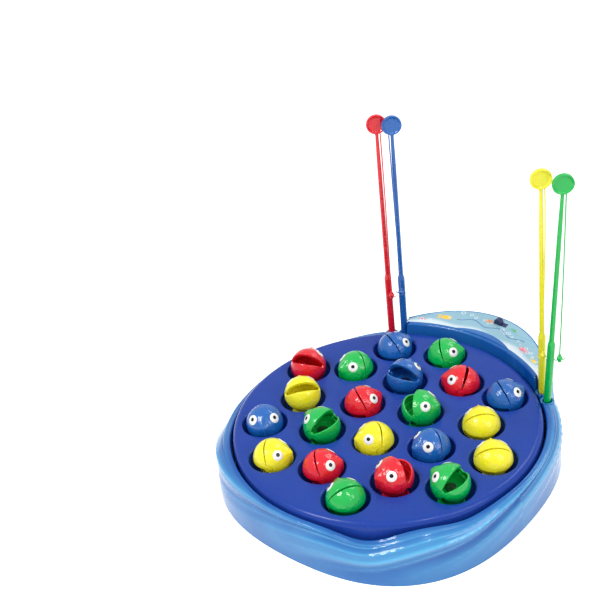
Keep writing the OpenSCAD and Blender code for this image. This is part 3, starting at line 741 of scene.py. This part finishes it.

# %% [markdown]
# The sticker is thin vinyl, cut a little smaller than the deck. It could be a decal on the deck's own
# faces, but a sheet of its own has crisp edges and its own gloss. A gap is left for the switch, with
# a dark sheet under it: painted shade in place of the slot's opening. The way along the banner is the
# angle times 140 mm, and the way across it is the distance from the sheet's inner edge.

# %% The banner's sheet
SHEET_SPAN, SHEET_START, SHEET_MARGIN, SHEET_LIFT, SHEET_BEND = 33.2, 3.2, 1.2, 0.15, 140
SLOT_AT, SLOT_SIZE = np.array([3.0, 153.0]), np.array([13.0, 5.0])
SLOT_HEM, SLOT_LIFT = 0.4, 0.06
around = np.linspace(90 - SHEET_SPAN, 90 + SHEET_SPAN, 560)[:, None]
inner = POCKET_R + SHEET_START
width = top_r(around) - SHEET_MARGIN - inner
across = np.linspace(0, 1, 96)[None]
sheet_r = inner + width * across
share = (sheet_r - DECK_IN) / (top_r(around) - DECK_IN)
sheet_z = inner_h(around) + (outer_h(around) - inner_h(around)) * share + SHEET_LIFT
points, faces = grid(np.stack([sheet_r * cosd(around), sheet_r * sind(around), sheet_z], axis=-1))
middle = points[faces].mean(axis=1)[:, :2]
in_slot = (abs(middle - SLOT_AT) < SLOT_SIZE / 2).all(axis=1)


def printed(tree, point):
    """The print is read from the ink attribute, which was computed point by point."""
    return wire(tree, "ShaderNodeAttribute", attribute_name="ink").outputs["Color"]


banner_ink = plastic("banner_ink", None, gloss=0.26, rubbed=0.1, drift=0.04, ripple=0.01, coat=0.2,
                     mix=printed)
sheet = piece("banner_sheet", [(points, faces[~in_slot])], "base", banner_ink, outwards=False)
x, y = points_of(sheet).T[:2]
u, v = np.arctan2(x, y) * SHEET_BEND, np.hypot(x, y) - inner
colours = np.column_stack([banner_colour(u, v), np.ones(len(u))])
ink = sheet.data.attributes.new("ink", "FLOAT_COLOR", "POINT")
ink.data.foreach_set("color", colours.astype(np.float32).ravel())

# A dark sheet just over the deck stands for the switch slot: painted shade in place of an opening.
unit_square = np.array([[-0.5, -0.5], [0.5, -0.5], [0.5, 0.5], [-0.5, 0.5]])
corners = SLOT_AT + unit_square * (SLOT_SIZE + SLOT_HEM)
slot_z = BANNER_H + BANNER_RISE * (corners[:, 1] - DECK_IN) / (top_r(90) - DECK_IN) + SLOT_LIFT
slot_shade_sheet = (np.column_stack([corners, slot_z]), np.array([[0, 1, 2, 3]]))
piece("switch_slot_shade", [slot_shade_sheet], "base", navy_knob_and_slot_shade, outwards=False)
print("banner points", len(u))

# %% [markdown]
# ## Fish
#
# A fish is a hollow ball on a stem. The face half and the bowl are one moulding, and the back half
# of the cap is a jaw on two hinge pins. Every surface is given by a distance from the ball's centre
# for each direction, so a shell is a block in angles: its six sides are grids that share their edges.
# The ridge on the face is the lens where two larger balls meet, blended softly into the head, and the
# beak is a cone that touches the ball. Sculpting would give a freer face, but not 21 alike.

# %% Shells
FISH_R, CAVITY_R, BOWL_R, SHELL_WALL = 15.3, 13.7, 13.3, 1.6
SEAM_TILT, SEAM_GAP, EAR_R, PIN_R, JAW_LAP = 18.0, 2.2, 3.2, 1.5, 4.0
EDGE, FALL_OUT, FALL_IN = 3.4, 0.6, 0.35
CREST_R, CREST_AT, CREST_HIGH = 24.0, (2.75, 1.6), 2.7
CREST_END, CREST_FADE = 78.0, 60.0
BEAK_UP, BEAK_TIP = 20.0, 19.2
STEM_CUT, BOWL_FLOOR = -12.4, -5.5
TOOTH_STEPS, TOOTH_LENGTH, TOOTH_ROOT, TOOTH_THICK = 45, 1.7, 14.0, 1.2
BEAK_HALF = math.acos(FISH_R / BEAK_TIP)
CREST_OFF = math.sqrt(CREST_R ** 2 - (FISH_R + CREST_HIGH - math.hypot(*CREST_AT)) ** 2)
FRONT_SEAM, BACK_SEAM, JAW_END = 90 + SEAM_TILT - SEAM_GAP, 90 + SEAM_TILT + SEAM_GAP, 180 + JAW_LAP


def heading(theta, phi):
    """Unit directions: theta turns from +X to +Z about the hinge, phi rises towards the hinge axis Y."""
    return np.stack([cosd(phi) * cosd(theta), sind(phi) + 0 * theta, cosd(phi) * sind(theta)], axis=-1)


def head_r(theta, phi):
    """The ball's radius, or the crest's or the beak's where larger; the crest fades out with theta.

    The larger of two radii is taken by a root of squares, which rounds the line where they meet. The
    beak is a cone that touches the ball. Its reach is the ball's radius over the cosine of the angle
    that is left between the direction and the circle where the cone touches.
    """
    d = heading(theta, phi)
    reach = []
    for sign in (1, -1):
        centre = np.array([CREST_AT[0], sign * CREST_OFF, CREST_AT[1]])
        along = d @ centre
        reach.append(along + np.sqrt(along ** 2 + CREST_R ** 2 - centre @ centre))
    low = (reach[0] + reach[1] - np.sqrt((reach[0] - reach[1]) ** 2 + 0.05)) / 2
    low = FISH_R + (low - FISH_R) * smooth((CREST_END - theta) / CREST_FADE)
    beak = np.arccos(np.clip(d @ heading(BEAK_UP, 0), -1, 1))
    cone = FISH_R / np.cos(np.maximum(0, BEAK_HALF - np.hypot(beak, 0.06)))
    low = np.maximum(low, cone)
    return (FISH_R + low + np.sqrt((low - FISH_R) ** 2 + 0.5)) / 2 - 0.3


def block(theta, phi, r_in, r_out):
    """The six sides of a curved block: theta rows by phi columns, between an inner and an outer radius."""
    theta, phi = np.asarray(theta, float)[:, None], np.asarray(phi, float)[None]
    out, inn = r_out + 0 * theta * phi, r_in + 0 * theta * phi
    outer, inner_side = heading(theta, phi) * out[..., None], heading(theta, phi) * inn[..., None]
    rows = [grid(outer), grid(inner_side[::-1])]
    for side in (0, -1):
        rows.append(grid(np.stack([outer[side], inner_side[side]])))
        rows.append(grid(np.stack([outer[:, side], inner_side[:, side]])))
    return rows


def eased(values, ends, width):
    """How far a rounded edge falls back: 1 - sqrt(1 - s squared), with s from 0 to 1 over the last width."""
    s = np.clip(1 - np.minimum(abs(values - ends[0]), abs(values - ends[1])) / width, 0, 1)
    return (1 - np.sqrt(1 - s ** 2))[:, None]


def steps_with_edges(start, end, count, width):
    """Angles from start to end, with extra ones close to each end for the rounded edge."""
    extra = np.array([0, 0.15, 0.35, 0.6, 1.0]) * width
    return np.concatenate([start + extra, np.linspace(start, end, count)[1:-1], (end - extra)[::-1]])


def polar(radius):
    """The phi at which the ball's surface is this far from the hinge axis."""
    return np.degrees(np.arccos(radius / FISH_R))


# Extra columns near phi 0 follow the crest and the beak, and two rows at theta 0 make the cavity's step.
# Only the seam is rounded, so the other end of eased is an angle far below all of them.
head_phi = polar(EAR_R + 0.4)
phi = np.sort(np.concatenate([np.linspace(-head_phi, head_phi, 41), [-0.8, 0.8, -2, 2]]))
theta = np.sort(np.append(steps_with_edges(-88, FRONT_SEAM, 54, EDGE), [0, 0.001]))
fall = eased(theta, (-200, FRONT_SEAM), EDGE)
cavity = np.where(theta > 0, CAVITY_R, BOWL_R - 0.2)[:, None]
head = block(theta, phi, cavity + FALL_IN * fall, head_r(theta[:, None], phi[None]) - FALL_OUT * fall)
head = [(np.maximum(points, [-99, -99, STEM_CUT]), faces) for points, faces in head]

bowl_in = BOWL_R - SHELL_WALL
bowl = np.concatenate([arc((0, 0), BOWL_R, -90, 0, 18),
                       arc((0, 0), bowl_in, 0, np.degrees(np.arcsin(BOWL_FLOOR / bowl_in)), 7),
                       [[0, BOWL_FLOOR]]])
stem = rounded([[0, -9], [8.9, -9], [8.9, -12.6], [9.2, -17], [10.6, -18], [10.6, -23], [9.6, -24],
                [0, -24]], 0.5)
zigzag = np.linspace(24, 156, TOOTH_STEPS)[:, None]
tip = CAVITY_R - 0.2 - TOOTH_LENGTH * (1 - abs((np.arange(TOOTH_STEPS)[:, None] % 4) - 2) / 2)
root = np.full_like(tip, TOOTH_ROOT)
tooth = np.concatenate([tip, root, root, tip + 0.15], 1)
rise = np.array([0, 0, TOOTH_THICK, TOOTH_THICK]) + 0 * tooth
teeth = grid(np.stack([rise, tooth * cosd(zigzag), tooth * sind(zigzag)], axis=-1), close_cols=True)
pin = lathe(rounded([[0, BOWL_R - 0.8], [PIN_R, BOWL_R - 0.8], [PIN_R, FISH_R - 0.2], [0, FISH_R]], 0.4), 24)
fish_parts = head + [lathe(bowl, 48), lathe(stem, 48), moved(teeth, turn("Y", -SEAM_TILT, (0.4, 0, 0)))]
fish_parts += [moved(pin, turn("X", side)) for side in (-90, 90)]

phi = np.linspace(-polar(EAR_R), polar(EAR_R), 37)
theta = steps_with_edges(BACK_SEAM, JAW_END, 22, EDGE)
fall = eased(theta, (BACK_SEAM, JAW_END), EDGE)
ear_bore = PIN_R + 0.05
ear_top = arc((0, 0), FISH_R, polar(EAR_R), polar(ear_bore), 5)
ear = np.concatenate([ear_top, [[ear_bore, CAVITY_R], [EAR_R, CAVITY_R]], ear_top[:1]])
jaw_parts = block(theta, phi, CAVITY_R + FALL_IN * fall, FISH_R - FALL_OUT * fall)
jaw_parts += [moved(lathe(ear, 40), turn("X", side)) for side in (-90, 90)]
print("points of a fish", sum(len(points) for points, faces in fish_parts),
      "of a jaw", sum(len(points) for points, faces in jaw_parts))

# %% [markdown]
# The eyes are white discs with a black pupil. They lie on the curved flank on either side of the
# crest, so each is a cap of directions about its own middle, a little above the head's surface.

# %% Eyes
EYE_SIDE, EYE_UP, EYE_SIZE, PUPIL = 50.0, 39.0, 4.3, 1.8
EYE_LIFT, PUPIL_LIFT, RIM_LIFT, RIM_SUNK, PUPIL_AT = 0.3, 0.42, 0.02, -0.3, (0, 0.4)


def cap(side, size, lift, offset=(0, 0), rings=7, steps=40):
    """A round cap on the head: rings of directions about the eye's middle, at the head's radius plus a lift.

    The lift falls off as the root of 1 - q to the sixth power, and one last ring sinks into the head.
    """
    middle = np.array([cosd(EYE_UP) * cosd(side), cosd(EYE_UP) * sind(side), sind(EYE_UP)])
    across = np.cross([0, 0, 1], middle)
    across /= np.linalg.norm(across)
    rise = np.cross(middle, across)
    q = np.concatenate([np.linspace(0, 1, rings), [1.0]])[:, None]
    a = full_turn(steps)[None]
    d = (middle + (size * q * np.cos(a) + offset[0])[..., None] / FISH_R * across
         + (size * q * np.sin(a) + offset[1])[..., None] / FISH_R * rise)
    d /= np.linalg.norm(d, axis=-1, keepdims=True)
    theta, phi = np.degrees(np.arctan2(d[..., 2], d[..., 0])), np.degrees(np.arcsin(d[..., 1]))
    height = lift * np.sqrt(np.clip(1 - q ** 6, 0, 1)) + RIM_LIFT
    height[-1] = RIM_SUNK
    return grid(d * (head_r(theta, phi) + height)[..., None], close_cols=True)


whites = [cap(side, EYE_SIZE, EYE_LIFT) for side in (EYE_SIDE, -EYE_SIDE)]
pupils = [cap(side, PUPIL, PUPIL_LIFT, PUPIL_AT) for side in (EYE_SIDE, -EYE_SIDE)]
print("points of an eye", len(whites[0][0]))

# %% [markdown]
# All 21 fish come from one mould in four colours. They could share one mesh, but each rides at its
# own place and heading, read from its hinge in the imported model. A jaw that rests open is turned
# about its pins by the angle that its joint allows below zero. The letters are the first letters of
# the fishes' colours, in the order of their numbers.

# %% Every fish
LETTERS = "ygrrgby" + "rbgyrgb" + "gbyrbgy"
NAMES = {shade[0]: shade for shade in SHADES}
for k, joint in enumerate(hinges):
    facing = math.degrees(math.atan2(joint["axis"][0], -joint["axis"][1]))
    opened = -joint["range_deg"][0]
    place = turn("Z", facing, [v / MM for v in joint["pos_m"]])
    lid_place = place @ turn("Y", -opened)
    number = f"{k + 1:02d}"
    shade = NAMES[LETTERS[k]]
    piece(f"fish{number}_shell", [moved(part, place) for part in fish_parts], "turntable", SHADES[shade],
          replaces=[f"fish{number}_body"], crease=40)
    piece(f"fish{number}_lid", [moved(part, lid_place) for part in jaw_parts], joint["child"], SHADES[shade],
          replaces=[f"fish{number}_jaw"], crease=40)
    piece(f"fish{number}_eyes", [moved(part, place) for part in whites], "turntable", eye_white, crease=60)
    piece(f"fish{number}_pupils", [moved(part, place) for part in pupils], "turntable", eye_black, crease=60)
print("fish", len(hinges))

# %% [markdown]
# ## Rods
#
# A rod is a tapered shaft on a thicker handle, and stands in a socket with a little play. The disc
# at its tip is dished on the front. Shaft and disc could be cylinders with bevels, but as lathes
# about two axes at right angles they have every step of the real outline.

# %% Rods
HANDLE_R, HANDLE_LEN, ROD_LEN, PEG_R, PEG_LEN = 3.1, 62, 205, 2.5, 15.6
DISC_R, DISC_H, TIP_R = 8.4, 3.4, 1.4
front = np.array([cosd(DISC_SIDE), sind(DISC_SIDE), 0])
sideways = np.array([-sind(DISC_SIDE), cosd(DISC_SIDE), 0])
shaft_end = ROD_LEN - DISC_R
shaft = rounded([[0, -PEG_LEN], [PEG_R - 0.5, -PEG_LEN], [PEG_R, -PEG_LEN + 1], [PEG_R, 0], [HANDLE_R, 0.5],
                 [HANDLE_R, HANDLE_LEN - 4], [TIP_R + 0.7, HANDLE_LEN], [TIP_R + 0.4, ROD_LEN - 40],
                 [TIP_R, shaft_end - 2], [TIP_R + 0.2, shaft_end], [0, shaft_end + 1]], 0.8)
disc = rounded([[0, 0], [DISC_R - 0.3, 0], [DISC_R, 0.6], [DISC_R, DISC_H - 0.2], [DISC_R - 0.6, DISC_H],
                [DISC_R - 1.2, DISC_H - 0.3], [DISC_R - 2, DISC_H - 1.2], [0, DISC_H - 1.2]], 0.4)
rod_parts = [lathe(shaft, 40), moved(lathe(disc, 64), turn("X", 90, (0, DISC_H / 2, ROD_LEN)))]
for shade, (at, side_lean, back_lean) in RODS.items():
    lean = np.tan(np.radians([side_lean, back_lean]))
    axis = sideways * lean[0] - front * lean[1] + [0, 0, 1]
    axis /= np.linalg.norm(axis)
    way = math.degrees(math.atan2(axis @ -front, axis @ sideways))
    place = turn("Z", DISC_SIDE + 90 + way, (SOCKET_AT * cosd(at), SOCKET_AT * sind(at), SOCKET_TOP))
    place = place @ turn("Y", math.degrees(math.acos(axis[2]))) @ turn("Z", -way)
    piece(f"rod_{shade}_shaft", [moved(part, place) for part in rod_parts], "base", SHADES[shade],
          replaces=[f"rod_{shade}"], crease=40)
print("rods", len(RODS))

# %% [markdown]
# ## Parts that keep the solid's own faces
#
# Flat or hidden parts gain nothing from new surfaces. The base plate, battery door, track floor,
# motor, pinion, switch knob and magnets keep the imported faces, and only get their materials.

# %% Materials of the rest
def metal(name, colour, rough, grain):
    """Bare metal: the roughness follows noise drawn out along Z."""
    material, tree, shader = new_material(name)
    point = wire(tree, "ShaderNodeTexCoord").outputs["Object"]
    drawn = wire(tree, "ShaderNodeMapping", {"Vector": point, "Scale": (900, 900, 60)}).outputs[0]
    spread = remap(tree, noise(tree, drawn, 1.0, 3.0), 0, 1, rough, rough + grain)
    feed(tree, shader, {"Roughness": spread, "Base Color": linear(*colour), "Metallic": 1})
    return material


steel = metal("motor_can", (190, 192, 196), 0.28, 0.2)
nickel = metal("magnet_nickel", (150, 152, 158), 0.22, 0.15)
KEPT = [("base_plate", base_blue, "base_plastic"), ("battery_door", base_blue, "base_plastic"),
        ("track_floor", base_blue, "base_plastic"), ("motor", steel, "motor_steel"),
        ("pinion", gear_white, "gear_plastic"), ("switch_knob", navy_knob_and_slot_shade, "dark_plastic"),
        ("magnets", nickel, "magnet_steel")]
for node, material, slot in KEPT:
    kept = frame["nodes"][node]
    kept.data.materials.clear()
    kept.data.materials.append(material)
print("kept nodes", len(KEPT))

# %% [markdown]
# ## Studio
#
# A pale floor runs out into a white surround, so the horizon does not show. Both are bright where the
# camera sees or mirrors them. As light on the game the surround is dimmer, and the floor's glow is
# off. Four square lamps give the form: a large key from the front, a small spark for sharp
# highlights, a fill from the right, and one from behind.

# %% Floor, world and lamps
ROOM_LIGHT, FLOOR_GLOW, FLOOR_SIZE = 0.4, 0.5, 8
AIM = np.array([0, 0, 0.05])


def seen_mask(tree):
    """1 for rays from the camera, from a mirror or through glass, and 0 for light that falls on things."""
    path = wire(tree, "ShaderNodeLightPath").outputs
    seen = maths(tree, "MAXIMUM", path["Is Camera Ray"], path["Is Glossy Ray"])
    return maths(tree, "MAXIMUM", seen, path["Is Transmission Ray"])


world = bpy.data.worlds.new("white_room")
bpy.context.scene.world = world
world.use_nodes = True
room = world.node_tree
feed(room, room.nodes["Background"], {"Strength": remap(room, seen_mask(room), 0, 1, ROOM_LIGHT, 1),
                                      "Color": (1, 1, 1, 1)})

floor_mat, tree, shader = new_material("floor_pale")
feed(tree, shader, {"Base Color": (1, 1, 1, 1), "Roughness": 0.9, "Emission Color": (1, 1, 1, 1),
                    "Emission Strength": maths(tree, "MULTIPLY", seen_mask(tree), FLOOR_GLOW)})
bpy.ops.mesh.primitive_plane_add(size=FLOOR_SIZE, location=(0, 0, 0))
floor = bpy.context.object
floor.name = "floor"
floor.data.materials.append(floor_mat)


def soft_lamp(name, place, size, power):
    """A square area lamp at a place in metres, turned so that its -Z points at the game's middle."""
    lamp = bpy.data.lights.new(name, "AREA")
    lamp.size = size
    lamp.energy = power
    holder = bpy.data.objects.new(name, lamp)
    z = np.array(place) - AIM
    z /= np.linalg.norm(z)
    x = np.cross([0, 0, 1.0], z)
    x /= np.linalg.norm(x)
    holder.matrix_world = placing(x, np.cross(z, x), z, place)
    bpy.context.scene.collection.objects.link(holder)
    return holder


lamps = [soft_lamp("key", (-0.35, -1.0, 1.5), 0.55, 16), soft_lamp("spark", (0.75, -0.25, 1.3), 0.14, 3),
         soft_lamp("fill", (1.3, 0.1, 0.9), 0.6, 5), soft_lamp("rear", (0.1, 1.3, 1.5), 0.7, 7)]
print("lamps", [lamp.name for lamp in lamps])
